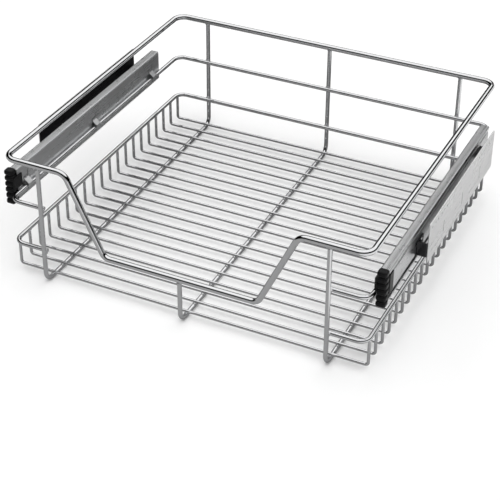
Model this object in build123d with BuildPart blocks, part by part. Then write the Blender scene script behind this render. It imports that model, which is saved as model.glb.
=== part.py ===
"""Pull-out wire basket on two full-extension ball runners, for a 600 mm kitchen cabinet.

X runs across the cabinet, -Y is the front and Z is up. The origin is the middle of the basket's
footprint, on the ground under the lowest wires. Lengths are in millimetres.
"""

from build123d import *
import os

os.makedirs("parts", exist_ok=True)

# Basket wires
rim_wire_d = 8.0
ring_wire_d = 6.0
bottom_wire_d = 6.0
cross_wire_d = 4.0
basket_width = 500.0
basket_depth = 475.0
rim_height = 180.0
middle_ring_height = 113.5
lower_ring_height = 48.5
rim_corner_r = 16.0
ring_corner_r = 14.0
bottom_wire_bend_r = 14.0
cross_wire_bend_r = 4.0
upright_inset = 49.5
ring_stub_past_upright = 1.5
cross_wire_count = 20
first_cross_wire_setback = 17.0
last_cross_wire_setback = 11.5
weld_depth = 0.2

# Dip in the front of the rim
dip_top_half_width = 161.0
dip_bottom_half_width = 108.0
dip_bar_height = 67.5
dip_shoulder_bend_r = 16.0
dip_bar_bend_r = 12.0

# Runner: drawer member outside, intermediate member and cabinet member nested in it
runner_length = 384.0
runner_front_setback = 28.5
channel_height = 45.6
channel_depth = 12.7
channel_gauge = 1.2
channel_lip = 4.2
channel_bend_r = 1.6
wire_above_channel_bottom = 13.5
ball_d = 3.2
ball_clearance = 0.05
intermediate_gauge = 1.2
cabinet_gauge = 1.2
member_bend_r = 1.0
cage_gauge = 0.6
cage_clearance = 0.4
cage_hole_clearance = 0.12
balls_per_row = 8
ball_spacing = 24.0
runner_travel = 380.0
cage_end_margin = 5.0
cage_race_overhang = 1.4
lip_clearance = 0.7
cabinet_web_recess = 0.5

# Lanced straps that hold the middle ring
strap_setbacks = (20.0, 194.5, 359.0)
strap_width = 10.0
strap_above_wire = 11.0
strap_below_wire = 8.5
strap_flat_above_wire = 3.4
strap_flat_below_wire = 3.2
strap_bend_r = 2.0
wire_grip_gap = 0.05
window_slit = 1.6
window_above_wire = 14.0
window_tail_above_wire = 20.0
lower_slot_length = 13.0
lower_slot_width = 2.2
lower_slot_below_wire = 10.5

# Groove pressed along both flanges of the drawer member
flange_groove_from_web = 7.8
flange_groove_width = 1.0
flange_groove_depth = 0.45

# Front cap and stop block
cap_depth = 12.0
cap_height = 51.0
cap_wrap = 0.6
cap_rib_count = 6
cap_rib_gap = 1.2
cap_rib_round = 3.0
cap_rib_corner_r = 3.4
cap_core_inset = 2.4
cap_edge_r = 1.6
cap_plug_length = 4.0
cap_fit = 0.05
cap_lug_length = 8.0
cap_lug_height = 18.0
cap_lug_thickness = 2.0
cap_lug_above_centre = 6.0
stop_length = 12.0
stop_tongue_length = 10.0
stop_gap = 0.3

# Mounting plate and its brackets
plate_standoff = 15.8
plate_gauge = 1.4
plate_length = 260.0
plate_setback = 96.0
plate_below_centre = 21.8
plate_above_centre = 34.7
plate_corner_r = 2.0
screw_hole_d = 3.6
screw_hole_below_top = 9.0
screw_hole_offsets = (65.0, 75.5, 85.5, 98.5, 108.5, 120.0)
tall_slot_width = 2.2
tall_slot_length = 19.0
tall_slot_pitch = 73.0
tall_slot_above_centre = -0.5
bracket_gauge = 1.4
bracket_height = 20.0
bracket_below_centre = 4.0
bracket_pad = 22.0
bracket_bend_r = 1.8
bracket_screw_d = 4.0
bracket_screw_fit = 0.05
bracket_screw_head_d = 7.0
bracket_screw_head_h = 2.2
bracket_screw_head_r = 0.8
bracket_screw_reach = 0.8
bracket_screw_spacing = 10.0
bracket_screw_setback = 13.0

# Levels and planes worked out from the sizes above
rim_y = basket_depth / 2
half_width = basket_width / 2
rim_r = rim_wire_d / 2
ring_r = ring_wire_d / 2
bottom_wire_r = bottom_wire_d / 2
cross_r = cross_wire_d / 2
ring_y = rim_y - bottom_wire_r - ring_r + weld_depth
upright_spread = half_width - upright_inset
ring_end_x = upright_spread - ring_stub_past_upright
cross_z = bottom_wire_d + cross_r - weld_depth
first_cross_y = first_cross_wire_setback - rim_y
last_cross_y = rim_y - last_cross_wire_setback
cross_wire_step = (last_cross_y - first_cross_y) / (cross_wire_count - 1)
runner_front_y = runner_front_setback - rim_y
runner_rear_y = runner_front_y + runner_length
member_front_y = runner_front_y + cap_plug_length + stop_gap
cabinet_member_front_y = member_front_y + stop_length
channel_bottom_z = middle_ring_height - wire_above_channel_bottom
runner_z = channel_bottom_z + channel_height / 2
channel_in_x = half_width + ring_r
channel_out_x = channel_in_x + channel_depth
channel_web_x = channel_in_x + channel_gauge / 2
lip_x = channel_out_x - channel_gauge / 2
race_half = channel_height / 2 - channel_gauge
middle_half = race_half - ball_d - 2 * ball_clearance
inner_half = middle_half - intermediate_gauge - ball_d - 2 * ball_clearance
outer_cage_x = channel_in_x + channel_gauge + cage_clearance
middle_in_x = outer_cage_x + cage_gauge + cage_clearance
inner_cage_x = middle_in_x + intermediate_gauge + cage_clearance
inner_in_x = inner_cage_x + cage_gauge + cage_clearance + channel_gauge / 2
middle_out_x = channel_out_x - channel_gauge - lip_clearance
cabinet_out_x = channel_out_x - cabinet_web_recess
ball_x = (middle_in_x + intermediate_gauge + middle_out_x) / 2 + channel_gauge / 2
cage_length = runner_rear_y - member_front_y - runner_travel / 2 - 2 * cage_end_margin
cage_mid_y = (member_front_y + runner_rear_y) / 2
plate_out_x = cabinet_out_x + plate_standoff
plate_in_x = plate_out_x - plate_gauge
plate_front_y = runner_front_y + plate_setback
plate_mid_y = plate_front_y + plate_length / 2
plate_bottom_z = runner_z - plate_below_centre
plate_top_z = runner_z + plate_above_centre
plate_mid_z = (plate_bottom_z + plate_top_z) / 2
bracket_z = runner_z - bracket_below_centre
cap_front_y = runner_front_y - cap_depth
cap_rib_height = (cap_height + cap_rib_gap) / cap_rib_count - cap_rib_gap
cap_out_x = channel_out_x + cap_wrap
cap_in_x = channel_in_x + cap_fit
bracket_screw_y = plate_length / 2 - bracket_screw_setback

# ---------------------------------------------------------------- basket wires

# Top rim: one thick wire round the mouth, dipping at the front
with BuildPart() as top_rim:
    with BuildLine() as rim_path:
        FilletPolyline(
            (-half_width, rim_y, rim_height),
            (-half_width, -rim_y, rim_height),
            (-dip_top_half_width, -rim_y, rim_height),
            (-dip_bottom_half_width, -rim_y, dip_bar_height),
            (dip_bottom_half_width, -rim_y, dip_bar_height),
            (dip_top_half_width, -rim_y, rim_height),
            (half_width, -rim_y, rim_height),
            (half_width, rim_y, rim_height),
            radius=[
                rim_corner_r,
                rim_corner_r,
                dip_shoulder_bend_r,
                dip_bar_bend_r,
                dip_bar_bend_r,
                dip_shoulder_bend_r,
                rim_corner_r,
                rim_corner_r,
            ],
            close=True,
        )
    with BuildSketch(Plane(origin=rim_path.line @ 0, z_dir=rim_path.line % 0)):
        Circle(rim_r)
    sweep()
top_rim.part.label = "top_rim"
export_step(top_rim.part, "parts/top_rim.step")

# Middle and lower rings: three sides each, with stubs that end behind the outer front uprights
for ring_name, ring_z in (
    ("middle_ring", middle_ring_height),
    ("lower_ring", lower_ring_height),
):
    with BuildPart() as ring:
        with BuildLine() as ring_path:
            FilletPolyline(
                (-ring_end_x, -ring_y, ring_z),
                (-half_width, -ring_y, ring_z),
                (-half_width, ring_y, ring_z),
                (half_width, ring_y, ring_z),
                (half_width, -ring_y, ring_z),
                (ring_end_x, -ring_y, ring_z),
                radius=ring_corner_r,
            )
        with BuildSketch(Plane(origin=ring_path.line @ 0, z_dir=ring_path.line % 0)):
            Circle(ring_r)
        sweep()
    ring.part.label = ring_name
    export_step(ring.part, f"parts/{ring_name}.step")

# Three bottom wires run front to back and turn up at both ends, coped to the underside of the rim
for wire_name, wire_x, front_bar_z in (
    ("bottom_wire_left", -upright_spread, rim_height),
    ("bottom_wire_centre", 0, dip_bar_height),
    ("bottom_wire_right", upright_spread, rim_height),
):
    with BuildPart() as bottom_wire:
        with BuildLine() as bottom_path:
            FilletPolyline(
                (wire_x, -rim_y, front_bar_z),
                (wire_x, -rim_y, bottom_wire_r),
                (wire_x, rim_y, bottom_wire_r),
                (wire_x, rim_y, rim_height),
                radius=bottom_wire_bend_r,
            )
        with BuildSketch(Plane(origin=bottom_path.line @ 0, z_dir=bottom_path.line % 0)):
            Circle(bottom_wire_r)
        sweep()
        with BuildSketch(Plane.YZ.offset(wire_x - rim_wire_d)):
            with Locations((-rim_y, front_bar_z), (rim_y, rim_height)):
                Circle(rim_r)
        extrude(amount=2 * rim_wire_d, mode=Mode.SUBTRACT)
    bottom_wire.part.label = wire_name
    export_step(bottom_wire.part, f"parts/{wire_name}.step")

# Cross wires lie on the bottom wires and turn up to the lower ring at each side
for index in range(cross_wire_count):
    wire_y = first_cross_y + index * cross_wire_step
    wire_name = f"cross_wire_{index + 1:02d}"
    with BuildPart() as cross_wire:
        with BuildLine() as cross_path:
            FilletPolyline(
                (-half_width, wire_y, lower_ring_height),
                (-half_width, wire_y, cross_z),
                (half_width, wire_y, cross_z),
                (half_width, wire_y, lower_ring_height),
                radius=cross_wire_bend_r,
            )
        with BuildSketch(Plane(origin=cross_path.line @ 0, z_dir=cross_path.line % 0)):
            Circle(cross_r)
        sweep()
        with BuildSketch(Plane.XZ.offset(-wire_y - cross_wire_d)):
            with Locations((-half_width, lower_ring_height), (half_width, lower_ring_height)):
                Circle(ring_r)
        extrude(amount=2 * cross_wire_d, mode=Mode.SUBTRACT)
    cross_wire.part.label = wire_name
    export_step(cross_wire.part, f"parts/{wire_name}.step")

# ---------------------------------------------------------------- runners, plates and fittings

# One bulging rib of the front cap, about its own middle
with BuildPart() as cap_rib:
    with BuildSketch(Plane.XY.offset(-cap_rib_height / 2)):
        RectangleRounded(cap_out_x - cap_in_x, cap_depth, cap_rib_corner_r)
    extrude(amount=cap_rib_height)
    fillet(
        cap_rib.edges().group_by(Axis.Z)[0] + cap_rib.edges().group_by(Axis.Z)[-1],
        radius=cap_rib_round,
    )

for side, s in (("left", -1), ("right", 1)):
    # Drawer member: a C channel whose web lies against the middle ring, open to the outside
    with BuildPart() as drawer_member:
        with BuildSketch(Plane.XZ.offset(-runner_rear_y)):
            with BuildLine():
                FilletPolyline(
                    (s * lip_x, channel_bottom_z + channel_lip),
                    (s * lip_x, channel_bottom_z + channel_gauge / 2),
                    (s * channel_web_x, channel_bottom_z + channel_gauge / 2),
                    (s * channel_web_x, channel_bottom_z + channel_height - channel_gauge / 2),
                    (s * lip_x, channel_bottom_z + channel_height - channel_gauge / 2),
                    (s * lip_x, channel_bottom_z + channel_height - channel_lip),
                    radius=channel_bend_r,
                )
            trace(line_width=channel_gauge)
        extrude(amount=runner_length)
        for setback in strap_setbacks:
            strap_y = runner_front_y + setback
            strap_in_x = half_width - ring_r - wire_grip_gap - channel_gauge / 2
            with BuildSketch(Plane.YZ.offset(s * channel_web_x - channel_gauge)):
                with Locations((strap_y, middle_ring_height)):
                    Rectangle(
                        strap_width,
                        strap_above_wire - channel_gauge,
                        align=(Align.CENTER, Align.MIN),
                    )
                    Rectangle(
                        strap_width,
                        strap_below_wire - channel_gauge,
                        align=(Align.CENTER, Align.MAX),
                    )
                with Locations((strap_y - strap_width / 2, middle_ring_height)):
                    Rectangle(
                        window_slit,
                        strap_below_wire - channel_gauge,
                        align=(Align.MAX, Align.MAX),
                    )
                    Rectangle(window_slit, window_above_wire, align=(Align.MAX, Align.MIN))
                with Locations((strap_y - strap_width / 2, middle_ring_height + window_above_wire)):
                    Rectangle(strap_width, window_slit, align=(Align.MIN, Align.MAX))
                with Locations(
                    (strap_y + strap_width / 2, middle_ring_height + window_tail_above_wire)
                ):
                    Rectangle(
                        window_slit,
                        window_tail_above_wire - window_above_wire + window_slit,
                        align=(Align.MAX, Align.MAX),
                    )
                with Locations((strap_y, middle_ring_height - lower_slot_below_wire)):
                    Rectangle(
                        lower_slot_length,
                        lower_slot_width,
                        align=(Align.MAX, Align.MAX),
                    )
            extrude(amount=2 * channel_gauge, mode=Mode.SUBTRACT)
            with BuildSketch(Plane.XZ.offset(-strap_y - strap_width / 2)):
                with BuildLine():
                    FilletPolyline(
                        (s * channel_web_x, middle_ring_height + strap_above_wire + channel_gauge),
                        (s * channel_web_x, middle_ring_height + strap_above_wire - channel_gauge),
                        (s * strap_in_x, middle_ring_height + strap_flat_above_wire),
                        (s * strap_in_x, middle_ring_height - strap_flat_below_wire),
                        (s * channel_web_x, middle_ring_height - strap_below_wire + channel_gauge),
                        (s * channel_web_x, middle_ring_height - strap_below_wire - channel_gauge),
                        radius=strap_bend_r / 2,
                    )
                trace(line_width=channel_gauge)
            extrude(amount=strap_width)
        groove_x = channel_in_x + flange_groove_from_web
        with BuildSketch(Plane.XZ.offset(-runner_rear_y)):
            with Locations((s * groove_x, channel_bottom_z)):
                Rectangle(flange_groove_width, 2 * flange_groove_depth)
            with Locations((s * groove_x, channel_bottom_z + channel_height)):
                Rectangle(flange_groove_width, 2 * flange_groove_depth)
        extrude(amount=runner_length, mode=Mode.SUBTRACT)
    drawer_member.part.label = f"drawer_member_{side}"
    export_step(drawer_member.part, f"parts/drawer_member_{side}.step")

    # Intermediate member: rides on balls inside the drawer member
    with BuildPart() as intermediate_member:
        with BuildSketch(Plane.XZ.offset(-runner_rear_y)):
            with BuildLine():
                FilletPolyline(
                    (s * middle_out_x, runner_z - middle_half + intermediate_gauge / 2),
                    (
                        s * (middle_in_x + intermediate_gauge / 2),
                        runner_z - middle_half + intermediate_gauge / 2,
                    ),
                    (
                        s * (middle_in_x + intermediate_gauge / 2),
                        runner_z + middle_half - intermediate_gauge / 2,
                    ),
                    (s * middle_out_x, runner_z + middle_half - intermediate_gauge / 2),
                    radius=member_bend_r,
                )
            trace(line_width=intermediate_gauge)
        extrude(amount=runner_rear_y - member_front_y)
    intermediate_member.part.label = f"intermediate_member_{side}"
    export_step(intermediate_member.part, f"parts/intermediate_member_{side}.step")

    # Cabinet member: the innermost channel, its web facing the cabinet side
    with BuildPart() as cabinet_member:
        with BuildSketch(Plane.XZ.offset(-runner_rear_y)):
            with BuildLine():
                FilletPolyline(
                    (s * inner_in_x, runner_z - inner_half + cabinet_gauge / 2),
                    (
                        s * (cabinet_out_x - cabinet_gauge / 2),
                        runner_z - inner_half + cabinet_gauge / 2,
                    ),
                    (
                        s * (cabinet_out_x - cabinet_gauge / 2),
                        runner_z + inner_half - cabinet_gauge / 2,
                    ),
                    (s * inner_in_x, runner_z + inner_half - cabinet_gauge / 2),
                    radius=member_bend_r,
                )
            trace(line_width=cabinet_gauge)
        extrude(amount=runner_rear_y - cabinet_member_front_y)
        with BuildSketch(Plane.YZ.offset(s * cabinet_out_x - 2 * cabinet_gauge)):
            with Locations((plate_mid_y, bracket_z)):
                with GridLocations(2 * bracket_screw_y, bracket_screw_spacing, 2, 2):
                    Circle(bracket_screw_d / 2 + bracket_screw_fit)
        extrude(amount=4 * cabinet_gauge, mode=Mode.SUBTRACT)
    cabinet_member.part.label = f"cabinet_member_{side}"
    export_step(cabinet_member.part, f"parts/cabinet_member_{side}.step")

    # Two ball cages with their balls: one row of balls above and one below each nested member
    for cage_name, cage_x, gap_half in (
        ("outer", outer_cage_x, (race_half + middle_half) / 2),
        ("inner", inner_cage_x, (middle_half - intermediate_gauge + inner_half) / 2),
    ):
        row_top_z = runner_z + gap_half
        row_bottom_z = runner_z - gap_half
        cage_tip_x = ball_x + ball_d / 2 + cage_race_overhang
        with BuildPart() as ball_cage:
            with BuildSketch(Plane.XZ.offset(-cage_mid_y - cage_length / 2)):
                with BuildLine():
                    FilletPolyline(
                        (s * cage_tip_x, row_bottom_z),
                        (s * (cage_x + cage_gauge / 2), row_bottom_z),
                        (s * (cage_x + cage_gauge / 2), row_top_z),
                        (s * cage_tip_x, row_top_z),
                        radius=member_bend_r,
                    )
                trace(line_width=cage_gauge)
            extrude(amount=cage_length)
            with BuildSketch(Plane.XY.offset(row_bottom_z - ball_d)):
                with Locations((s * ball_x, cage_mid_y)):
                    with GridLocations(1, ball_spacing, 1, balls_per_row):
                        Circle(ball_d / 2 + cage_hole_clearance)
            extrude(amount=2 * gap_half + 2 * ball_d, mode=Mode.SUBTRACT)
        ball_cage.part.label = f"{cage_name}_ball_cage_{side}"
        export_step(ball_cage.part, f"parts/{cage_name}_ball_cage_{side}.step")

        with BuildPart() as balls:
            with Locations(
                (s * ball_x, cage_mid_y, row_bottom_z),
                (s * ball_x, cage_mid_y, row_top_z),
            ):
                with GridLocations(1, ball_spacing, 1, balls_per_row):
                    Sphere(ball_d / 2)
        balls.part.label = f"{cage_name}_balls_{side}"
        export_step(balls.part, f"parts/{cage_name}_balls_{side}.step")

    # Front cap: ribbed block on the end of the drawer member, plugged into its channel
    with BuildPart() as front_cap:
        with BuildSketch(Plane.XZ.offset(-runner_front_y)):
            with Locations((s * (cap_in_x + cap_out_x) / 2, runner_z)):
                RectangleRounded(
                    cap_out_x - cap_in_x - 2 * cap_core_inset,
                    cap_height - 2 * cap_core_inset,
                    cap_edge_r,
                )
        extrude(amount=cap_depth - cap_core_inset)
        with Locations((s * (cap_in_x + cap_out_x) / 2, runner_front_y - cap_depth / 2, runner_z)):
            for rib in range(cap_rib_count):
                rib_z = (rib - (cap_rib_count - 1) / 2) * (cap_rib_height + cap_rib_gap)
                add(cap_rib.part.moved(Location((0, 0, rib_z))))
        with BuildSketch(Plane.XZ.offset(-runner_front_y)):
            with Locations(
                (s * (channel_in_x + channel_gauge + cap_fit), runner_z),
            ):
                RectangleRounded(
                    middle_out_x - channel_in_x - channel_gauge,
                    2 * (race_half - cap_fit),
                    channel_bend_r,
                    align=(Align.MIN if s > 0 else Align.MAX, Align.CENTER),
                )
        extrude(amount=-cap_plug_length)
        with BuildSketch(Plane.XZ.offset(-cap_front_y - cap_edge_r)):
            with Locations(
                (s * (cap_in_x + cap_edge_r / 2), runner_z + cap_lug_above_centre),
            ):
                Rectangle(
                    cap_lug_thickness + cap_edge_r / 2,
                    cap_lug_height,
                    align=(Align.MAX if s > 0 else Align.MIN, Align.CENTER),
                )
        extrude(amount=-(cap_depth - cap_edge_r))
        with BuildSketch(Plane.XZ.offset(-runner_front_y)):
            with Locations(
                (s * (channel_in_x - cap_fit), runner_z + cap_lug_above_centre),
            ):
                Rectangle(
                    cap_lug_thickness - 2 * cap_fit,
                    cap_lug_height,
                    align=(Align.MAX if s > 0 else Align.MIN, Align.CENTER),
                )
        extrude(amount=-cap_lug_length)
    front_cap.part.label = f"front_cap_{side}"
    export_step(front_cap.part, f"parts/front_cap_{side}.step")

    # Stop block: plugged into the front of the cabinet member, it meets the cap when closed
    with BuildPart() as stop_block:
        with BuildSketch(Plane.XZ.offset(-cabinet_member_front_y)):
            with Locations(
                (s * (inner_in_x + cabinet_out_x) / 2, runner_z),
            ):
                Rectangle(cabinet_out_x - inner_in_x, 2 * inner_half)
        extrude(amount=stop_length)
        chamfer(
            stop_block.faces().sort_by(Axis.Y)[0].edges(),
            length=cap_edge_r / 2,
        )
        with BuildSketch(Plane.XZ.offset(-cabinet_member_front_y)):
            with Locations(
                (s * (inner_in_x + cabinet_out_x - cabinet_gauge - cap_fit) / 2, runner_z),
            ):
                RectangleRounded(
                    cabinet_out_x - cabinet_gauge - cap_fit - inner_in_x,
                    2 * (inner_half - cabinet_gauge - cap_fit),
                    member_bend_r,
                )
        extrude(amount=-stop_tongue_length)
        fillet(
            stop_block.faces().sort_by(Axis.Y)[-1].edges().filter_by(Axis.X),
            radius=cap_edge_r,
        )
    stop_block.part.label = f"stop_block_{side}"
    export_step(stop_block.part, f"parts/stop_block_{side}.step")

    # Mounting plate: screwed to the cabinet side through the row of holes near its top edge
    with BuildPart() as mounting_plate:
        with BuildSketch(Plane.YZ.offset(min(s * plate_in_x, s * plate_out_x))):
            with Locations((plate_mid_y, plate_mid_z)):
                RectangleRounded(plate_length, plate_top_z - plate_bottom_z, plate_corner_r)
            for offset in screw_hole_offsets:
                with Locations((plate_mid_y, plate_top_z - screw_hole_below_top)):
                    with GridLocations(2 * offset, 1, 2, 1):
                        Circle(screw_hole_d / 2, mode=Mode.SUBTRACT)
            with Locations((plate_mid_y, runner_z + tall_slot_above_centre)):
                with GridLocations(tall_slot_pitch, 1, 3, 1):
                    SlotOverall(tall_slot_length, tall_slot_width, rotation=90, mode=Mode.SUBTRACT)
            with Locations((plate_mid_y, bracket_z)):
                with GridLocations(2 * bracket_screw_y, bracket_screw_spacing, 2, 2):
                    Circle(bracket_screw_d / 2 + bracket_screw_fit, mode=Mode.SUBTRACT)
        extrude(amount=plate_gauge)
    mounting_plate.part.label = f"mounting_plate_{side}"
    export_step(mounting_plate.part, f"parts/mounting_plate_{side}.step")

    # Spacer brackets: folded strips that carry the plate outboard of the cabinet member
    for bracket_name, end in (("front", -1), ("rear", 1)):
        end_y = plate_mid_y + end * plate_length / 2
        pad_y = end_y - end * bracket_pad
        with BuildPart() as bracket:
            with BuildSketch(Plane.XY.offset(bracket_z - bracket_height / 2)):
                with BuildLine():
                    FilletPolyline(
                        (s * (cabinet_out_x + bracket_gauge / 2), pad_y),
                        (
                            s * (cabinet_out_x + bracket_gauge / 2),
                            end_y - end * bracket_gauge / 2,
                        ),
                        (s * (plate_in_x - bracket_gauge / 2), end_y - end * bracket_gauge / 2),
                        (s * (plate_in_x - bracket_gauge / 2), pad_y),
                        radius=bracket_bend_r,
                    )
                trace(line_width=bracket_gauge)
            extrude(amount=bracket_height)
            with BuildSketch(Plane.YZ.offset(min(s * cabinet_out_x, s * plate_in_x))):
                with Locations((plate_mid_y + end * bracket_screw_y, bracket_z)):
                    with GridLocations(1, bracket_screw_spacing, 1, 2):
                        Circle(bracket_screw_d / 2 + bracket_screw_fit)
            extrude(amount=plate_in_x - cabinet_out_x, mode=Mode.SUBTRACT)
        bracket.part.label = f"{bracket_name}_bracket_{side}"
        export_step(bracket.part, f"parts/{bracket_name}_bracket_{side}.step")

    # Bracket screws: heads inside the brackets, shanks through the member and through the plate
    with BuildPart() as screws:
        for head_x, head_dir, shank_length in (
            (
                cabinet_out_x + bracket_gauge,
                1,
                bracket_gauge + cabinet_gauge + bracket_screw_reach,
            ),
            (plate_in_x - bracket_gauge, -1, bracket_gauge + plate_gauge),
        ):
            with BuildSketch(Plane.YZ.offset(s * head_x)):
                with Locations((plate_mid_y, bracket_z)):
                    with GridLocations(2 * bracket_screw_y, bracket_screw_spacing, 2, 2):
                        Circle(bracket_screw_head_d / 2)
            extrude(amount=s * head_dir * bracket_screw_head_h)
            fillet(
                screws.edges(Select.LAST).group_by(Axis.X)[-1 if s * head_dir > 0 else 0],
                radius=bracket_screw_head_r,
            )
            with BuildSketch(Plane.YZ.offset(s * head_x)):
                with Locations((plate_mid_y, bracket_z)):
                    with GridLocations(2 * bracket_screw_y, bracket_screw_spacing, 2, 2):
                        Circle(bracket_screw_d / 2)
            extrude(amount=-s * head_dir * shank_length)
    screws.part.label = f"bracket_screws_{side}"
    export_step(screws.part, f"parts/bracket_screws_{side}.step")
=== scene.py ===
"""Wire cabinet basket on two ball runners: finishes, weld beads, caps, screws and the studio.

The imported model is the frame. It is in metres, with X across the cabinet, -Y the front and Z up.
"""

import math

import bpy
from mathutils import Matrix, Vector


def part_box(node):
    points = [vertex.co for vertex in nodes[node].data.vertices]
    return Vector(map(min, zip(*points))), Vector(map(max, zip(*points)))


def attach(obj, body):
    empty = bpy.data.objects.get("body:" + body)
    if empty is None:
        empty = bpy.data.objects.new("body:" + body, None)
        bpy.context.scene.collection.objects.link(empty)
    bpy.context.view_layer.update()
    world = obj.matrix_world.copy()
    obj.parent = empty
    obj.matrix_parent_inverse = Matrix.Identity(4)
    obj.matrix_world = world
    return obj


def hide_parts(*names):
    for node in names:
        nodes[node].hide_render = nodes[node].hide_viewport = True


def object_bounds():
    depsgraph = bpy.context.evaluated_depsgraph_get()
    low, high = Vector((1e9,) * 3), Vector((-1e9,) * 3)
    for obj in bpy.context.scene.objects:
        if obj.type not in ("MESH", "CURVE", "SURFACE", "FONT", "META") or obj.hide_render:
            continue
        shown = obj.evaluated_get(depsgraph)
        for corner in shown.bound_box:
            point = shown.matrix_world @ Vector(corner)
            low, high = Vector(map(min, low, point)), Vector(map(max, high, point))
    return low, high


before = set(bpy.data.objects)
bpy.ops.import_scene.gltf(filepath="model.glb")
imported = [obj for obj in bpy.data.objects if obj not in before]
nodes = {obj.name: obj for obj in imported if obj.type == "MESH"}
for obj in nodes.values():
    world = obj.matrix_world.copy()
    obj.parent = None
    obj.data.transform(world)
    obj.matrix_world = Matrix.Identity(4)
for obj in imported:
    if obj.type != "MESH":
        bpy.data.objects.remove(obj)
cad_low, cad_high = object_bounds()

bl_info = {
    "name": "Pull-out Wire Basket",
    "version": (1, 0, 0),
    "blender": (4, 5, 0),
    "location": "View3D > Sidebar > Basket",
    "description": "Finishes and small pieces of a pull-out kitchen basket on ball runners",
    "category": "Object",
}

MM = 0.001
SIDES = {"left": -1.0, "right": 1.0}
BOTTOM_WIRES = ("bottom_wire_left", "bottom_wire_centre", "bottom_wire_right")
CROSS_WIRES = tuple(f"cross_wire_{number:02d}" for number in range(1, 21))
RINGS = ("middle_ring", "lower_ring")
# How deep from a plate's inner face its painted shade is taken to go: near-black standing in for
# the shade in the gap between plate and runner
PAINTED_SHADE_DEPTH = 0.2 * MM
# Screws are driven home at different angles, in radians
FIRST_SCREW_TURN = 0.5
NEXT_SCREW_TURN = 1.1
FLOOR_SIZE = 24.0
# The floor lies just under the lowest wires
FLOOR_GAP = 0.3 * MM


# ---------------------------------------------------------------- settings


class WireSettings(bpy.types.PropertyGroup):
    """Bright chrome plating of the basket's wires, and the beads at their welds"""

    colour: bpy.props.FloatVectorProperty(
        name="Chrome colour",
        description="Colour that the plating reflects",
        subtype="COLOR",
        size=3,
        min=0.0,
        max=1.0,
        default=(0.86, 0.865, 0.875),
    )
    roughness: bpy.props.FloatProperty(
        name="Chrome roughness",
        description="Roughness of clean plating",
        subtype="FACTOR",
        min=0.0,
        max=1.0,
        default=0.06,
    )
    rim_radius: bpy.props.FloatProperty(
        name="Rim radius",
        description="Radius of the thick rim wire",
        unit="LENGTH",
        subtype="DISTANCE",
        min=0.0,
        default=4.0 * MM,
    )
    bead_reach: bpy.props.FloatProperty(
        name="Bead reach",
        description="How far a weld bead reaches past the thinner wire's radius",
        unit="LENGTH",
        subtype="DISTANCE",
        min=0.0,
        default=0.55 * MM,
    )
    bead_thickness: bpy.props.FloatProperty(
        name="Bead thickness",
        description="Half the thickness of a weld bead between two wires",
        unit="LENGTH",
        subtype="DISTANCE",
        min=0.0,
        default=0.95 * MM,
    )


class SteelSettings(bpy.types.PropertyGroup):
    """Zinc-plated steel of the runners, plates, brackets and screws"""

    zinc_colour: bpy.props.FloatVectorProperty(
        name="Runner colour",
        description="Colour of the zinc on the runner members",
        subtype="COLOR",
        size=3,
        min=0.0,
        max=1.0,
        default=(0.74, 0.745, 0.75),
    )
    plate_colour: bpy.props.FloatVectorProperty(
        name="Plate colour",
        description="Colour of the mounting plates' outer face",
        subtype="COLOR",
        size=3,
        min=0.0,
        max=1.0,
        default=(0.78, 0.78, 0.78),
    )
    # Painted shade: near-black for the plates' inner faces, standing in for the shade in the gap
    # between plate and runner
    plate_painted_shade_colour: bpy.props.FloatVectorProperty(
        name="Plate's inner colour",
        description="Colour of the mounting plates' inner face",
        subtype="COLOR",
        size=3,
        min=0.0,
        max=1.0,
        default=(0.012, 0.012, 0.013),
    )
    ball_colour: bpy.props.FloatVectorProperty(
        name="Ball colour",
        description="Colour that the polished balls reflect",
        subtype="COLOR",
        size=3,
        min=0.0,
        max=1.0,
        default=(0.8, 0.8, 0.82),
    )
    # Painted shade: the spacer brackets' near-black stands in for the shade they sit in between
    # runner and plate
    bracket_shade_colour: bpy.props.FloatVectorProperty(
        name="Bracket colour",
        description="Colour of the darker spacer brackets",
        subtype="COLOR",
        size=3,
        min=0.0,
        max=1.0,
        default=(0.055, 0.055, 0.058),
    )
    roughness: bpy.props.FloatProperty(
        name="Zinc roughness",
        description="Roughness of clean zinc",
        subtype="FACTOR",
        min=0.0,
        max=1.0,
        default=0.28,
    )
    screw_head_radius: bpy.props.FloatProperty(
        name="Screw head radius",
        description="Radius of the bracket screws' heads",
        unit="LENGTH",
        subtype="DISTANCE",
        min=0.0,
        default=3.5 * MM,
    )
    screw_head_height: bpy.props.FloatProperty(
        name="Screw head height",
        description="Height of the bracket screws' heads",
        unit="LENGTH",
        subtype="DISTANCE",
        min=0.0,
        default=2.2 * MM,
    )
    screw_shank_radius: bpy.props.FloatProperty(
        name="Screw shank radius",
        description="Radius of the bracket screws' shanks",
        unit="LENGTH",
        subtype="DISTANCE",
        min=0.0,
        default=2.0 * MM,
    )
    bracket_gauge: bpy.props.FloatProperty(
        name="Bracket gauge",
        description="Thickness of the spacer brackets' strip",
        unit="LENGTH",
        subtype="DISTANCE",
        min=0.0,
        default=1.4 * MM,
    )
    streak_scale: bpy.props.FloatProperty(
        name="Streak scale",
        description="Rolling streaks per metre across the strip",
        min=1.0,
        default=1400.0,
    )


class PlasticSettings(bpy.types.PropertyGroup):
    """Moulded black plastic of the caps and stop blocks"""

    colour: bpy.props.FloatVectorProperty(
        name="Plastic colour",
        description="Colour of the moulded plastic",
        subtype="COLOR",
        size=3,
        min=0.0,
        max=1.0,
        default=(0.004, 0.004, 0.0045),
    )
    roughness: bpy.props.FloatProperty(
        name="Plastic roughness",
        description="Roughness of the moulded surface",
        subtype="FACTOR",
        min=0.0,
        max=1.0,
        default=0.28,
    )


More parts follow.
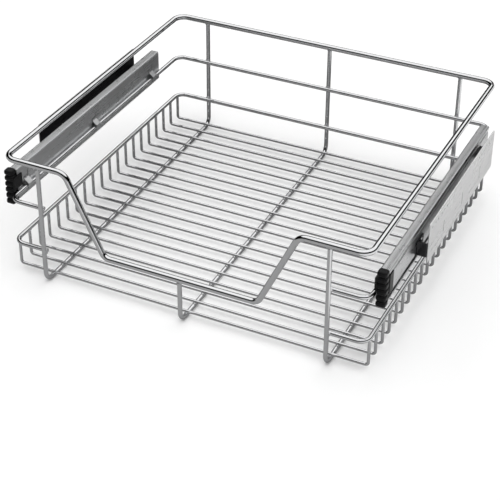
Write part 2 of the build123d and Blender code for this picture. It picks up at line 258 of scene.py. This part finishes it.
class StudioSettings(bpy.types.PropertyGroup):
    """Floor, lamps and camera"""

    floor_near: bpy.props.FloatVectorProperty(
        name="Floor in front",
        description="Colour of the floor in front, away from the camera's own rays",
        subtype="COLOR",
        size=3,
        min=0.0,
        max=1.0,
        default=(0.30, 0.30, 0.30),
    )
    floor_far: bpy.props.FloatVectorProperty(
        name="Floor behind",
        description="Colour of the floor behind, away from the camera's own rays",
        subtype="COLOR",
        size=3,
        min=0.0,
        max=1.0,
        default=(0.03, 0.03, 0.03),
    )
    floor_side: bpy.props.FloatVectorProperty(
        name="Floor at the right",
        description="Colour of the floor past the object's right side, as its plates see it",
        subtype="COLOR",
        size=3,
        min=0.0,
        max=1.0,
        default=(0.75, 0.75, 0.75),
    )
    side_blend: bpy.props.FloatProperty(
        name="Side blend",
        description="Width over which the floor changes at the object's right side",
        unit="LENGTH",
        subtype="DISTANCE",
        min=0.001,
        default=60 * MM,
    )
    metal_share: bpy.props.FloatProperty(
        name="Background in metal",
        description="Share of the white background that polished metal shows",
        subtype="FACTOR",
        min=0.0,
        max=1.0,
        default=0.04,
    )
    sky_strength: bpy.props.FloatProperty(
        name="Overhead strength",
        description="Strength of the light from above",
        min=0.0,
        default=1.0,
    )
    horizon_level: bpy.props.FloatProperty(
        name="Horizon level",
        description="Brightness of the sky right at the horizon",
        min=0.0,
        max=1.0,
        default=0.25,
    )
    horizon_top: bpy.props.FloatProperty(
        name="Horizon top",
        description="Height on the sky at which the glow at the horizon ends",
        min=0.0,
        max=1.0,
        default=0.06,
    )
    sky_dark: bpy.props.FloatProperty(
        name="Dark below",
        description="Height on the sky under which polished metal sees black",
        min=0.0,
        max=1.0,
        default=0.65,
    )
    sky_white: bpy.props.FloatProperty(
        name="White above",
        description="Height on the sky over which it is white",
        min=0.0,
        max=1.0,
        default=0.70,
    )
    sky_lean: bpy.props.FloatProperty(
        name="Sky lean",
        description="How much lower the white comes behind the object than in front",
        default=0.25,
    )
    key_strength: bpy.props.FloatProperty(
        name="Key strength",
        description="Strength of the first soft sun",
        min=0.0,
        default=1.35,
    )
    fill_strength: bpy.props.FloatProperty(
        name="Fill strength",
        description="Strength of the second soft sun",
        min=0.0,
        default=0.65,
    )
    lens: bpy.props.FloatProperty(
        name="Lens",
        description="Focal length in millimetres on a 36 mm sensor",
        min=10.0,
        default=102.5,
    )
    camera_place: bpy.props.FloatVectorProperty(
        name="Camera place",
        description="Where the camera stands",
        unit="LENGTH",
        subtype="XYZ",
        size=3,
        default=(0.70017, -1.51248, 1.10677),
    )
    camera_turn: bpy.props.FloatVectorProperty(
        name="Camera turn",
        description="Turn to the left, tilt down and roll",
        unit="ROTATION",
        subtype="EULER",
        size=3,
        default=(math.radians(25.32), math.radians(32.16), math.radians(0.43)),
    )
    camera_shift: bpy.props.FloatProperty(
        name="Camera shift",
        description="Upright shift of the frame, as a share of its width",
        default=-0.11,
    )


# ---------------------------------------------------------------- node helpers


def add_node(tree, kind, inputs=None, **settings):
    """Adds a shader node; an input's value may be a socket, which is linked, or a plain value."""
    made = tree.nodes.new(kind)
    for name, value in settings.items():
        setattr(made, name, value)
    for name, value in (inputs or {}).items():
        if isinstance(value, bpy.types.NodeSocket):
            tree.links.new(value, made.inputs[name])
        else:
            made.inputs[name].default_value = value
    return made


def new_group(name, inputs, outputs):
    """An empty shader group with named sockets; returns its tree, input node and output node."""
    tree = bpy.data.node_groups.new(name, "ShaderNodeTree")
    for socket, kind, default in inputs:
        made = tree.interface.new_socket(socket, in_out="INPUT", socket_type=kind)
        if default is not None:
            made.default_value = default
    for socket, kind in outputs:
        tree.interface.new_socket(socket, in_out="OUTPUT", socket_type=kind)
    return tree, tree.nodes.new("NodeGroupInput"), tree.nodes.new("NodeGroupOutput")


def place_group(tree, name, **inputs):
    """Places a shader group in a material; socket names are given with _ for a space."""
    made = tree.nodes.new("ShaderNodeGroup")
    made.node_tree = bpy.data.node_groups[name]
    for socket, value in inputs.items():
        target = made.inputs[socket.replace("_", " ")]
        if isinstance(value, bpy.types.NodeSocket):
            tree.links.new(value, target)
        else:
            target.default_value = value
    return made


def new_material(name):
    """A material with its shader, its output and the object coordinates."""
    made = bpy.data.materials.new(name)
    made.use_nodes = True
    tree = made.node_tree
    shader = tree.nodes["Principled BSDF"]
    place = tree.nodes.new("ShaderNodeTexCoord").outputs["Object"]
    return made, tree, shader, place


def give(material, *names):
    """Gives CAD nodes a material."""
    for name in names:
        slots = nodes[name].data.materials
        slots.clear()
        slots.append(material)


def make_rolling_streaks():
    """Fine streaks along Y, as left by rolling the strip."""
    tree, given, out = new_group(
        "Rolling Streaks",
        [("Place", "NodeSocketVector", None), ("Scale", "NodeSocketFloat", 1400.0)],
        [("Streak", "NodeSocketFloat"), ("Cloud", "NodeSocketFloat")],
    )
    stretch = add_node(
        tree,
        "ShaderNodeVectorMath",
        {0: given.outputs["Place"], 1: (1.0, 0.012, 1.0)},
        operation="MULTIPLY",
    )
    streak = add_node(
        tree,
        "ShaderNodeTexNoise",
        {"Vector": stretch.outputs[0], "Scale": given.outputs["Scale"], "Detail": 3.0},
    )
    cloud = add_node(
        tree,
        "ShaderNodeTexNoise",
        {"Vector": given.outputs["Place"], "Scale": 34.0, "Detail": 4.0, "Roughness": 0.6},
    )
    tree.links.new(streak.outputs["Fac"], out.inputs["Streak"])
    tree.links.new(cloud.outputs["Fac"], out.inputs["Cloud"])


def make_plating_ripple():
    """Very slight waves and smudges of bright plating."""
    tree, given, out = new_group(
        "Plating Ripple",
        [("Place", "NodeSocketVector", None), ("Scale", "NodeSocketFloat", 260.0)],
        [("Wave", "NodeSocketFloat"), ("Smudge", "NodeSocketFloat")],
    )
    wave = add_node(
        tree,
        "ShaderNodeTexNoise",
        {
            "Vector": given.outputs["Place"],
            "Scale": given.outputs["Scale"],
            "Detail": 2.0,
            "Roughness": 0.5,
        },
    )
    smudge = add_node(
        tree,
        "ShaderNodeTexNoise",
        {"Vector": given.outputs["Place"], "Scale": 42.0, "Detail": 5.0, "Roughness": 0.65},
    )
    clear = add_node(
        tree,
        "ShaderNodeMapRange",
        {"Value": smudge.outputs["Fac"], "From Min": 0.52, "From Max": 0.78},
    )
    tree.links.new(wave.outputs["Fac"], out.inputs["Wave"])
    tree.links.new(clear.outputs["Result"], out.inputs["Smudge"])


def make_worn_edges():
    """Mask of the edges within a radius, from how far the bevelled normal leans away."""
    tree, given, out = new_group(
        "Worn Edges",
        [("Radius", "NodeSocketFloat", 0.0006)],
        [("Edge", "NodeSocketFloat"), ("Normal", "NodeSocketVector")],
    )
    rounded = add_node(
        tree, "ShaderNodeBevel", {"Radius": given.outputs["Radius"]}, samples=6
    )
    flat = tree.nodes.new("ShaderNodeNewGeometry")
    lean = add_node(
        tree,
        "ShaderNodeVectorMath",
        {0: rounded.outputs["Normal"], 1: flat.outputs["Normal"]},
        operation="DOT_PRODUCT",
    )
    edge = add_node(
        tree,
        "ShaderNodeMapRange",
        {
            "Value": lean.outputs["Value"],
            "From Min": 0.98,
            "From Max": 0.8,
        },
    )
    tree.links.new(edge.outputs["Result"], out.inputs["Edge"])
    tree.links.new(rounded.outputs["Normal"], out.inputs["Normal"])


def mix_colours(tree, share, first, second):
    """Colour between two, by a share that changes over the surface."""
    mix = tree.nodes.new("ShaderNodeMix")
    mix.data_type = "RGBA"
    tree.links.new(share, mix.inputs["Factor"])
    for socket, value in ((mix.inputs[6], first), (mix.inputs[7], second)):
        if isinstance(value, bpy.types.NodeSocket):
            tree.links.new(value, socket)
        else:
            socket.default_value = (*value, 1.0)
    return mix.outputs[2]


def map_value(tree, value, low, high, from_low=0.0, from_high=1.0):
    """Value moved from one range to another."""
    made = add_node(
        tree,
        "ShaderNodeMapRange",
        {
            "Value": value,
            "From Min": from_low,
            "From Max": from_high,
            "To Min": low,
            "To Max": high,
        },
    )
    return made.outputs["Result"]


def shaded(colour, factor):
    """Colour made darker or lighter by a factor."""
    return tuple(min(1.0, part * factor) for part in colour)


def chrome_material(name, colour, roughness):
    """Bright plating with a slight ripple and a few smudges."""
    made, tree, shader, place = new_material(name)
    ripple = place_group(tree, "Plating Ripple", Place=place)
    shader.inputs["Metallic"].default_value = 1.0
    tree.links.new(
        mix_colours(tree, ripple.outputs["Smudge"], colour, shaded(colour, 0.93)),
        shader.inputs["Base Color"],
    )
    tree.links.new(
        map_value(tree, ripple.outputs["Smudge"], roughness, roughness + 0.09),
        shader.inputs["Roughness"],
    )
    bump = add_node(
        tree,
        "ShaderNodeBump",
        {"Strength": 0.12, "Distance": 0.0003, "Height": ripple.outputs["Wave"]},
    )
    tree.links.new(bump.outputs["Normal"], shader.inputs["Normal"])
    return made


def strip_material(name, colour, roughness, scale, metallic=1.0, painted_shade_face=None):
    """Rolled and plated strip: streaks along it, brighter edges from wear, faint clouds.

    The last argument is (distance from the middle plane, colour): the surface nearer than that
    takes the colour as painted shade. The plates' inner faces get it, painted near-black for the
    shade in the gap beside the runner.
    """
    made, tree, shader, place = new_material(name)
    streaks = place_group(tree, "Rolling Streaks", Place=place, Scale=scale)
    edges = place_group(tree, "Worn Edges", Radius=0.0005)
    shader.inputs["Metallic"].default_value = metallic
    rolled = mix_colours(
        tree,
        map_value(tree, streaks.outputs["Streak"], 0.0, 1.0, 0.35, 0.65),
        shaded(colour, 0.93),
        shaded(colour, 1.04),
    )
    clouded = mix_colours(
        tree,
        map_value(tree, streaks.outputs["Cloud"], 0.0, 0.2, 0.45, 0.75),
        rolled,
        shaded(colour, 0.86),
    )
    worn_and_shaded = mix_colours(tree, edges.outputs["Edge"], clouded, shaded(colour, 1.22))
    # Painted shade: the surface nearer than the limit to the middle plane, which is the plates'
    # inner faces, turns near-black for the shade beside the runner
    if painted_shade_face:
        limit, dark = painted_shade_face
        apart = add_node(tree, "ShaderNodeSeparateXYZ", {"Vector": place})
        depth = add_node(
            tree, "ShaderNodeMath", {0: apart.outputs["X"]}, operation="ABSOLUTE"
        )
        inside = add_node(
            tree, "ShaderNodeMath", {0: depth.outputs[0], 1: limit}, operation="LESS_THAN"
        )
        worn_and_shaded = mix_colours(tree, inside.outputs[0], worn_and_shaded, dark)
    tree.links.new(worn_and_shaded, shader.inputs["Base Color"])
    rough = add_node(
        tree,
        "ShaderNodeMath",
        {
            0: map_value(tree, streaks.outputs["Streak"], -0.05, 0.05, 0.3, 0.7),
            1: map_value(
                tree, streaks.outputs["Cloud"], roughness - 0.03, roughness + 0.1, 0.3, 0.75
            ),
        },
        operation="ADD",
    )
    tree.links.new(rough.outputs[0], shader.inputs["Roughness"])
    bump = add_node(
        tree,
        "ShaderNodeBump",
        {
            "Strength": 0.18,
            "Distance": 0.0002,
            "Height": streaks.outputs["Streak"],
            "Normal": edges.outputs["Normal"],
        },
    )
    tree.links.new(bump.outputs["Normal"], shader.inputs["Normal"])
    return made


def plastic_material(name, colour, roughness):
    """Moulded black plastic: fine spark grain, slightly paler on rubbed edges."""
    made, tree, shader, place = new_material(name)
    edges = place_group(tree, "Worn Edges", Radius=0.0005)
    grain = add_node(
        tree,
        "ShaderNodeTexNoise",
        {"Vector": place, "Scale": 3200.0, "Detail": 2.0, "Roughness": 0.6},
    )
    flow = add_node(
        tree,
        "ShaderNodeTexNoise",
        {"Vector": place, "Scale": 120.0, "Detail": 3.0},
    )
    base = mix_colours(tree, flow.outputs["Fac"], colour, shaded(colour, 1.6))
    rubbed = mix_colours(
        tree,
        map_value(tree, edges.outputs["Edge"], 0.0, 0.5),
        base,
        shaded(colour, 5.0),
    )
    tree.links.new(rubbed, shader.inputs["Base Color"])
    tree.links.new(
        map_value(tree, flow.outputs["Fac"], roughness - 0.05, roughness + 0.08),
        shader.inputs["Roughness"],
    )
    shader.inputs["Specular IOR Level"].default_value = 0.25
    bump = add_node(
        tree,
        "ShaderNodeBump",
        {
            "Strength": 0.25,
            "Distance": 0.00008,
            "Height": grain.outputs["Fac"],
            "Normal": edges.outputs["Normal"],
        },
    )
    tree.links.new(bump.outputs["Normal"], shader.inputs["Normal"])
    return made


# ---------------------------------------------------------------- modelling helpers


def deselect():
    """Leaves edit mode and selects nothing."""
    if bpy.context.object and bpy.context.object.mode != "OBJECT":
        bpy.ops.object.mode_set(mode="OBJECT")
    bpy.ops.object.select_all(action="DESELECT")


def activate(piece):
    """Makes one object the only selected one."""
    deselect()
    piece.select_set(True)
    bpy.context.view_layer.objects.active = piece


def box_of(name):
    """Lowest corner, highest corner and middle of a CAD node."""
    low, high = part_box(name)
    return low, high, (low + high) / 2


def settle(piece, name):
    """Names a piece and puts its place, turn and size into its mesh."""
    activate(piece)
    piece.name = name
    piece.data.name = name
    bpy.ops.object.transform_apply(location=True, rotation=True, scale=True)


def copy_to(source, matrix):
    """Copy of a modelled piece with its own mesh, put in its place."""
    made = source.copy()
    made.data = source.data.copy()
    bpy.context.collection.objects.link(made)
    made.data.transform(matrix)
    return made


def join(pieces, name):
    """Joins pieces into one with a single mesh."""
    deselect()
    for piece in pieces:
        piece.select_set(True)
    bpy.context.view_layer.objects.active = pieces[0]
    if len(pieces) > 1:
        bpy.ops.object.join()
    made = bpy.context.view_layer.objects.active
    settle(made, name)
    return made


def make_outward(piece):
    """Points a closed mesh's faces outwards."""
    activate(piece)
    bpy.ops.object.mode_set(mode="EDIT")
    bpy.ops.mesh.select_all(action="SELECT")
    bpy.ops.mesh.remove_doubles(threshold=0.000001)
    bpy.ops.mesh.normals_make_consistent(inside=False)
    bpy.ops.object.mode_set(mode="OBJECT")


def dress(piece, body, material, smooth_angle=35.0):
    """Shading, material, body and slot of a finished piece."""
    activate(piece)
    bpy.ops.object.shade_smooth_by_angle(angle=math.radians(smooth_angle))
    piece.data.materials.clear()
    piece.data.materials.append(material)
    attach(piece, body)


def material_of(name):
    """A finish that an earlier operator made."""
    made = bpy.data.materials.get(name)
    if made is None:
        raise RuntimeError(f"the finish {name} has to be made first")
    return made


# ---------------------------------------------------------------- operators


class BASKET_OT_finish_wires(bpy.types.Operator):
    """Chrome the rim, rings, bottom wires and cross wires"""

    bl_idname = "basket.finish_wires"
    bl_label = "Finish Wires"

    def execute(self, context):
        settings = context.scene.basket_wires
        make_plating_ripple()
        chrome = chrome_material("Bright Chrome", settings.colour, settings.roughness)
        give(chrome, "top_rim", *RINGS, *BOTTOM_WIRES, *CROSS_WIRES)
        return {"FINISHED"}


class BASKET_OT_finish_steel(bpy.types.Operator):
    """Give the runners, cages, balls, plates and brackets their steel, with painted shade on the
    nested members, cages, brackets and the plates' inner faces
    """

    bl_idname = "basket.finish_steel"
    bl_label = "Finish Steel"

    def execute(self, context):
        settings = context.scene.basket_steel
        make_rolling_streaks()
        make_worn_edges()
        scale = settings.streak_scale
        zinc = strip_material(
            "Runner Zinc", settings.zinc_colour, settings.roughness, scale
        )
        # Painted shade: the intermediate members at 0.75 and the ball cages at half the runner's
        # colour, for the shade inside the runner's channel
        nested_in_painted_shade = strip_material(
            "Nested Zinc In Painted Shade", shaded(settings.zinc_colour, 0.75), settings.roughness, scale
        )
        cage_in_painted_shade = strip_material(
            "Cage Steel In Painted Shade", shaded(settings.zinc_colour, 0.5), settings.roughness, scale
        )
        # Painted shade: the brackets take their near-black shade colour
        bracket = strip_material(
            "Bracket Steel In Painted Shade", settings.bracket_shade_colour, settings.roughness, scale
        )
        # The plates' inner faces get near-black painted shade, for the shade in the gap between
        # each plate and its runner; their outer faces are bare zinc
        plate_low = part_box("mounting_plate_right")[0]
        plate = strip_material(
            "Plate Zinc With Painted Shade",
            settings.plate_colour,
            settings.roughness,
            scale,
            metallic=0.3,
            painted_shade_face=(plate_low.x + PAINTED_SHADE_DEPTH, settings.plate_painted_shade_colour),
        )
        balls = chrome_material("Ball Steel", settings.ball_colour, 0.05)
        screw = strip_material(
            "Screw Zinc", shaded(settings.zinc_colour, 0.9), 0.3, scale
        )
        for side in SIDES:
            give(zinc, f"drawer_member_{side}", f"cabinet_member_{side}")
            give(nested_in_painted_shade, f"intermediate_member_{side}")
            give(cage_in_painted_shade, f"outer_ball_cage_{side}", f"inner_ball_cage_{side}")
            give(balls, f"outer_balls_{side}", f"inner_balls_{side}")
            give(bracket, f"front_bracket_{side}", f"rear_bracket_{side}")
            give(plate, f"mounting_plate_{side}")
            give(screw, f"bracket_screws_{side}")
        return {"FINISHED"}


class BASKET_OT_finish_plastic(bpy.types.Operator):
    """Give the caps and stop blocks their moulded plastic"""

    bl_idname = "basket.finish_plastic"
    bl_label = "Finish Plastic"

    def execute(self, context):
        settings = context.scene.basket_plastic
        plastic = plastic_material(
            "Black Plastic", settings.colour, settings.roughness
        )
        for side in SIDES:
            give(plastic, f"front_cap_{side}", f"stop_block_{side}")
        return {"FINISHED"}


def model_bead():
    """One weld bead of unit radius and unit half thickness, with a squeezed-out lip."""
    deselect()
    bpy.ops.mesh.primitive_uv_sphere_add(segments=16, ring_count=8, radius=1.0)
    bead = bpy.context.object
    bpy.ops.object.mode_set(mode="EDIT")
    bpy.ops.mesh.select_all(action="DESELECT")
    bpy.ops.object.mode_set(mode="OBJECT")
    for vertex in bead.data.vertices:
        vertex.select = abs(vertex.co.z) < 0.1
    bpy.ops.object.mode_set(mode="EDIT")
    bpy.ops.mesh.select_mode(type="VERT")
    bpy.ops.transform.resize(value=(1.12, 1.12, 1.0))
    bpy.ops.object.mode_set(mode="OBJECT")
    return bead


class BASKET_OT_add_weld_beads(bpy.types.Operator):
    """Add the small beads at the wires' spot welds"""

    bl_idname = "basket.add_weld_beads"
    bl_label = "Add Weld Beads"

    def execute(self, context):
        settings = context.scene.basket_wires
        reach, thick = settings.bead_reach, settings.bead_thickness
        low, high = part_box("top_rim")
        rim_radius = settings.rim_radius
        rim_z = high.z - rim_radius
        rim_y = high.y - rim_radius
        dip_z = low.z
        rings = {}
        for name in RINGS:
            low, high, middle = box_of(name)
            rings[name] = (middle.z, (high.z - low.z) / 2, high.x, high.y)
        lower_z, lower_radius, lower_x, _ = rings["lower_ring"]
        spots = []
        for wire in CROSS_WIRES:
            low, high, middle = box_of(wire)
            radius = (high.y - low.y) / 2
            for bottom in BOTTOM_WIRES:
                spots.append(((box_of(bottom)[2].x, middle.y, low.z), "Z", radius))
            for sign in (-1.0, 1.0):
                x = sign * (lower_x - lower_radius)
                spots.append(((x, middle.y, lower_z - lower_radius), "Z", radius))
        for bottom in BOTTOM_WIRES:
            low, high, middle = box_of(bottom)
            radius = (high.x - low.x) / 2
            for sign in (-1.0, 1.0):
                front_middle = sign < 0 and bottom == "bottom_wire_centre"
                top = dip_z if front_middle else rim_z - rim_radius
                spots.append(((middle.x, sign * rim_y, top), "Z", radius))
                if front_middle:
                    continue
                for ring_z, _, _, ring_y in rings.values():
                    spots.append(((middle.x, sign * ring_y, ring_z), "Y", radius))
        bead = model_bead()
        beads = []
        for spot, axis, radius in spots:
            size = Matrix.Diagonal((radius + reach, radius + reach, thick, 1.0))
            turn = (
                Matrix.Rotation(math.pi / 2, 4, "X") if axis == "Y" else Matrix.Identity(4)
            )
            beads.append(copy_to(bead, Matrix.Translation(spot) @ turn @ size))
        bpy.data.objects.remove(bead)
        piece = join(beads, "weld_beads")
        dress(piece, "basket", material_of("Bright Chrome"), 80.0)
        return {"FINISHED"}


def model_screw(head_radius, head_height, shank_radius, shank_length):
    """Pan head screw along Z: a domed head above Z 0 with a cross recess, its shank below."""
    deselect()
    bpy.ops.mesh.primitive_cylinder_add(
        vertices=32,
        radius=head_radius,
        depth=head_height,
        location=(0.0, 0.0, head_height / 2),
    )
    screw = bpy.context.object
    bpy.ops.object.transform_apply(location=True, rotation=True, scale=True)
    bpy.ops.object.mode_set(mode="EDIT")
    bpy.ops.mesh.select_all(action="DESELECT")
    bpy.ops.object.mode_set(mode="OBJECT")
    for edge in screw.data.edges:
        ends = [screw.data.vertices[index].co.z for index in edge.vertices]
        edge.select = min(ends) > head_height * 0.9
    bpy.ops.object.mode_set(mode="EDIT")
    bpy.ops.mesh.select_mode(type="EDGE")
    bpy.ops.mesh.bevel(offset=head_height * 0.42, segments=4, profile=0.5)
    bpy.ops.object.mode_set(mode="OBJECT")
    recess_length = head_radius * 1.05
    recess_width = head_radius * 0.27
    recess_depth = head_height * 0.7
    cutters = []
    for turn in (0.0, math.pi / 2):
        bpy.ops.object.select_all(action="DESELECT")
        bpy.ops.mesh.primitive_cube_add(
            size=1.0,
            location=(0.0, 0.0, head_height * 1.5 - recess_depth),
            rotation=(0.0, 0.0, turn),
            scale=(recess_length, recess_width, head_height),
        )
        cutter = bpy.context.object
        bpy.ops.object.transform_apply(location=True, rotation=True, scale=True)
        cutters.append(cutter)
    for cutter in cutters:
        activate(screw)
        cut = screw.modifiers.new("Recess", "BOOLEAN")
        cut.operation = "DIFFERENCE"
        cut.object = cutter
        bpy.ops.object.modifier_apply(modifier=cut.name)
        bpy.data.objects.remove(cutter)
    deselect()
    bpy.ops.mesh.primitive_cylinder_add(
        vertices=24,
        radius=shank_radius,
        depth=shank_length,
        location=(0.0, 0.0, -shank_length / 2),
    )
    shank = bpy.context.object
    bpy.ops.object.transform_apply(location=True, rotation=True, scale=True)
    for face in shank.data.polygons:
        face.select = False
    for vertex in shank.data.vertices:
        vertex.select = vertex.co.z < -shank_length * 0.9
    for edge in shank.data.edges:
        ends = [shank.data.vertices[index].co.z for index in edge.vertices]
        edge.select = max(ends) < -shank_length * 0.9
    bpy.ops.object.mode_set(mode="EDIT")
    bpy.ops.mesh.select_mode(type="EDGE")
    bpy.ops.mesh.bevel(offset=shank_radius * 0.2, segments=2)
    bpy.ops.object.mode_set(mode="OBJECT")
    screw.select_set(True)
    bpy.context.view_layer.objects.active = screw
    bpy.ops.object.join()
    return bpy.context.object


class BASKET_OT_add_bracket_screws(bpy.types.Operator):
    """Add the cross-recessed screws that hold the spacer brackets"""

    bl_idname = "basket.add_bracket_screws"
    bl_label = "Add Bracket Screws"

    def execute(self, context):
        settings = context.scene.basket_steel
        head_radius = settings.screw_head_radius
        head_height = settings.screw_head_height
        gauge = settings.bracket_gauge
        for side, sign in SIDES.items():
            low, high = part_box(f"bracket_screws_{side}")
            inner, outer = sorted((abs(low.x), abs(high.x)))
            front, rear = low.y + head_radius, high.y - head_radius
            bracket_low, bracket_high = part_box(f"front_bracket_{side}")
            member_face, plate_face = sorted((abs(bracket_low.x), abs(bracket_high.x)))
            seats = (
                (member_face + gauge, 1.0, member_face + gauge - inner),
                (plate_face - gauge, -1.0, outer - plate_face + gauge),
            )
            rows = (low.z + head_radius, high.z - head_radius)
            pieces = []
            turn_count = 0
            for seat, outward, reach in seats:
                screw = model_screw(
                    head_radius, head_height, settings.screw_shank_radius, reach
                )
                for y in (front, rear):
                    for z in rows:
                        angle = FIRST_SCREW_TURN + NEXT_SCREW_TURN * turn_count
                        spin = Matrix.Rotation(angle, 4, "Z")
                        lean = Matrix.Rotation(sign * outward * math.pi / 2, 4, "Y")
                        place = Matrix.Translation((sign * seat, y, z))
                        pieces.append(copy_to(screw, place @ lean @ spin))
                        turn_count += 1
                bpy.data.objects.remove(screw)
            piece = join(pieces, f"cross_screws_{side}")
            make_outward(piece)
            dress(piece, "cabinet_side", material_of("Screw Zinc"))
            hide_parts(f"bracket_screws_{side}")
        return {"FINISHED"}


class BASKET_OT_add_studio(bpy.types.Operator):
    """Add the floor, the soft light and the camera"""

    bl_idname = "basket.add_studio"
    bl_label = "Add Studio"

    def execute(self, context):
        settings = context.scene.basket_studio
        scene = context.scene
        deselect()
        bpy.ops.mesh.primitive_plane_add(size=FLOOR_SIZE, location=(0.0, 0.0, -FLOOR_GAP))
        floor = bpy.context.object
        floor.name = "studio_floor"
        floor.data.materials.append(self.floor_material(settings))
        self.make_world(scene, settings)
        # Two soft suns that polished metal doesn't see
        for name, strength, angle, turn in (
            ("key_lamp", settings.key_strength, 70.0, (38.0, 0.0, 35.0)),
            ("fill_lamp", settings.fill_strength, 110.0, (30.0, 0.0, -120.0)),
        ):
            bpy.ops.object.light_add(
                type="SUN", rotation=tuple(math.radians(part) for part in turn)
            )
            lamp = bpy.context.object
            lamp.name = name
            lamp.data.energy = strength
            lamp.data.angle = math.radians(angle)
            lamp.visible_glossy = False
        self.make_camera(scene, settings)
        scene.view_settings.view_transform = "Standard"
        return {"FINISHED"}

    def floor_material(self, settings):
        """Matt floor: white to the camera; for other rays it darkens towards the rear.

        Past the object's right side those rays see it pale.
        """
        made, tree, shader, place = new_material("Studio Floor")
        path = tree.nodes.new("ShaderNodeLightPath")
        metal = add_node(
            tree,
            "ShaderNodeMath",
            {0: path.outputs["Is Glossy Ray"], 1: path.outputs["Is Transmission Ray"]},
            operation="MAXIMUM",
        )
        part = add_node(
            tree,
            "ShaderNodeMath",
            {0: metal.outputs[0], 1: settings.metal_share},
            operation="MULTIPLY",
        )
        seen = add_node(
            tree,
            "ShaderNodeMath",
            {0: part.outputs[0], 1: path.outputs["Is Camera Ray"]},
            operation="MAXIMUM",
        )
        apart = add_node(tree, "ShaderNodeSeparateXYZ", {"Vector": place})
        ground = mix_colours(
            tree,
            map_value(tree, apart.outputs["Y"], 0.0, 1.0, cad_low.y, 2 * cad_high.y),
            settings.floor_near,
            settings.floor_far,
        )
        side_x = cad_high.x
        ground = mix_colours(
            tree,
            map_value(tree, apart.outputs["X"], 0.0, 1.0, side_x, side_x + settings.side_blend),
            ground,
            settings.floor_side,
        )
        tree.links.new(
            mix_colours(tree, seen.outputs[0], ground, (1.0, 1.0, 1.0)),
            shader.inputs["Base Color"],
        )
        shader.inputs["Roughness"].default_value = 1.0
        shader.inputs["Specular IOR Level"].default_value = 0.0
        return made

    def make_world(self, scene, settings):
        """White to the camera; for other rays white overhead and black below it.

        A faint glow is left at the horizon.
        """
        world = bpy.data.worlds.new("Studio World")
        scene.world = world
        world.use_nodes = True
        tree = world.node_tree
        tree.nodes.clear()
        place = tree.nodes.new("ShaderNodeTexCoord").outputs["Generated"]
        apart = add_node(tree, "ShaderNodeSeparateXYZ", {"Vector": place})
        height = add_node(
            tree,
            "ShaderNodeMath",
            {0: apart.outputs["Y"], 1: settings.sky_lean, 2: apart.outputs["Z"]},
            operation="MULTIPLY_ADD",
        )
        ramp = add_node(tree, "ShaderNodeValToRGB", {"Fac": height.outputs[0]})
        stops = (
            (0.0, settings.horizon_level),
            (settings.horizon_top, 0.0),
            (settings.sky_dark, 0.0),
            (settings.sky_white, 1.0),
            (1.0, 1.0),
        )
        while len(ramp.color_ramp.elements) < len(stops):
            ramp.color_ramp.elements.new(0.5)
        for element, (position, level) in zip(ramp.color_ramp.elements, stops):
            element.position = position
            element.color = (level, level, level, 1.0)
        studio = add_node(
            tree,
            "ShaderNodeBackground",
            {"Color": ramp.outputs["Color"], "Strength": settings.sky_strength},
        )
        white = add_node(
            tree, "ShaderNodeBackground", {"Color": (1.0, 1.0, 1.0, 1.0), "Strength": 1.0}
        )
        path = tree.nodes.new("ShaderNodeLightPath")
        mix = add_node(tree, "ShaderNodeMixShader", {0: path.outputs["Is Camera Ray"]})
        tree.links.new(studio.outputs[0], mix.inputs[1])
        tree.links.new(white.outputs[0], mix.inputs[2])
        out = tree.nodes.new("ShaderNodeOutputWorld")
        tree.links.new(mix.outputs[0], out.inputs["Surface"])

    def make_camera(self, scene, settings):
        """Camera at the photograph's angle."""
        bpy.ops.object.camera_add()
        camera = bpy.context.object
        camera.name = "photo_camera"
        yaw, tilt, roll = settings.camera_turn
        ahead = Vector(
            (
                -math.sin(yaw) * math.cos(tilt),
                math.cos(yaw) * math.cos(tilt),
                -math.sin(tilt),
            )
        )
        level = Vector((math.cos(yaw), math.sin(yaw), 0.0))
        upright = level.cross(ahead)
        right = level * math.cos(roll) + upright * math.sin(roll)
        up = upright * math.cos(roll) - level * math.sin(roll)
        turn = Matrix((right, up, -ahead)).transposed().to_4x4()
        camera.matrix_world = Matrix.Translation(settings.camera_place) @ turn
        camera.data.sensor_width = 36.0
        camera.data.lens = settings.lens
        camera.data.shift_y = settings.camera_shift
        camera.data.clip_start = 0.05
        camera.data.clip_end = 60.0
        scene.camera = camera


STEPS = (
    BASKET_OT_finish_wires,
    BASKET_OT_finish_steel,
    BASKET_OT_finish_plastic,
    BASKET_OT_add_weld_beads,
    BASKET_OT_add_bracket_screws,
    BASKET_OT_add_studio,
)
SETTINGS = {
    "basket_wires": WireSettings,
    "basket_steel": SteelSettings,
    "basket_plastic": PlasticSettings,
    "basket_studio": StudioSettings,
}


class BASKET_PT_panel(bpy.types.Panel):
    """Settings and steps of the pull-out basket"""

    bl_idname = "BASKET_PT_panel"
    bl_label = "Pull-out Basket"
    bl_space_type = "VIEW_3D"
    bl_region_type = "UI"
    bl_category = "Basket"

    def draw(self, context):
        for name, group in SETTINGS.items():
            box = self.layout.box()
            for setting in group.__annotations__:
                box.prop(getattr(context.scene, name), setting)
        for step in STEPS:
            self.layout.operator(step.bl_idname)


def register():
    for name, group in SETTINGS.items():
        bpy.utils.register_class(group)
        setattr(bpy.types.Scene, name, bpy.props.PointerProperty(type=group))
    for kind in (*STEPS, BASKET_PT_panel):
        bpy.utils.register_class(kind)


def unregister():
    for kind in (BASKET_PT_panel, *reversed(STEPS)):
        bpy.utils.unregister_class(kind)
    for name, group in reversed(SETTINGS.items()):
        delattr(bpy.types.Scene, name)
        bpy.utils.unregister_class(group)


def main():
    register()
    for step in STEPS:
        family, name = step.bl_idname.split(".")
        getattr(getattr(bpy.ops, family), name)()


if __name__ == "__main__":
    main()
